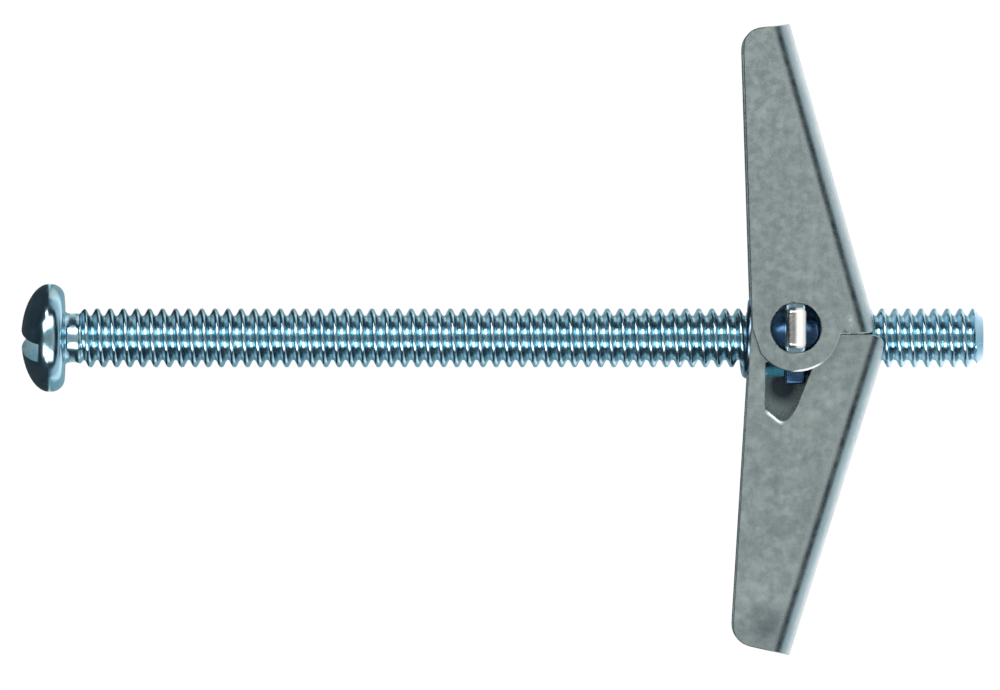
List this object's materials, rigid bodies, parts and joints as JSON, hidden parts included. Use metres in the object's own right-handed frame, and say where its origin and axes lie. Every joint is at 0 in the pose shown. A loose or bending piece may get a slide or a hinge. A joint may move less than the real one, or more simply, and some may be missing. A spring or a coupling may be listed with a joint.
{
  "type": "spring toggle bolt",
  "caption": "Spring-wing toggle bolt for hollow walls: slotted round-head machine screw, trunnion nut and two sprung folding channel wings.",
  "frame": {"origin": "on the screw axis, in the plane of the bearing face under the screw head", "axes": "+X along the screw from head to tip, +Y and -Y out along the open wings, +Z along the wings' fold axis; the part lies on its side, as when laid on a table"},
  "size_m": [0.0778, 0.0509, 0.0114],
  "materials": {
    "screw_zinc": "bright bluish zinc plating on rolled steel",
    "nut_zinc": "zinc plating on stamped steel",
    "spring_wire": "dark blue-grey zinc-plated spring wire",
    "wing_zinc": "mottled grey-green zinc plating on pressed sheet steel"
  },
  "bodies": {
    "screw": {"machine_screw": "screw_zinc"},
    "nut": {"trunnion_nut": "nut_zinc", "wing_spring": "spring_wire"},
    "outer_wing": {"outer_wing": "wing_zinc"},
    "inner_wing": {"inner_wing": "wing_zinc"}
  },
  "joints": [
    {"name": "nut_travel", "type": "slide", "parent": "screw", "child": "nut", "axis": [1, 0, 0], "range_m": [-0.03175, 0.0127]},
    {"name": "outer_wing_fold", "type": "hinge", "parent": "nut", "child": "outer_wing", "pos_m": [0.0591, 0.0008, 0], "axis": [0, 0, 1], "range_deg": [0, 80], "stiffness_Nm_per_rad": 0.02, "springref_deg": -34.38, "deforming": ["wing_spring"]},
    {"name": "inner_wing_fold", "type": "hinge", "parent": "nut", "child": "inner_wing", "pos_m": [0.0591, 0.0008, 0], "axis": [0, 0, -1], "range_deg": [0, 77], "stiffness_Nm_per_rad": 0.02, "springref_deg": -34.38, "deforming": ["wing_spring"]}
  ]
}
